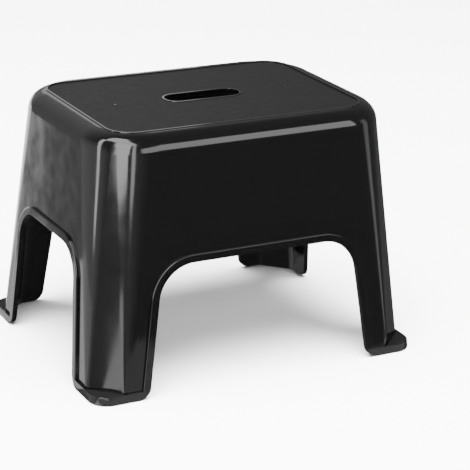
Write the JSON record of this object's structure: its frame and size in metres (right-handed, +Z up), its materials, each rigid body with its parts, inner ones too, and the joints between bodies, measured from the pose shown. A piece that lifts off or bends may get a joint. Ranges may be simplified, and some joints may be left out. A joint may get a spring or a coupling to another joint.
{
  "type": "step stool",
  "caption": "Moulded step stool: a hollow, thin-walled body with leaning walls, arched openings, flattened corners, a rimmed deck with a hand slot, and rubber feet under the toes.",
  "frame": {"origin": "on the floor, under the middle of the stool", "axes": "+Z up; +X along the longer side; -Y towards the front"},
  "size_m": [0.3998, 0.3228, 0.286],
  "materials": {
    "moulding": "black polypropylene, polished walls and a finely textured deck",
    "feet": "matt black synthetic rubber"
  },
  "bodies": {
    "root": {"stool_shell": "moulding", "rubber_foot_back_left": "feet", "rubber_foot_back_right": "feet", "rubber_foot_front_left": "feet", "rubber_foot_front_right": "feet"}
  },
  "joints": []
}
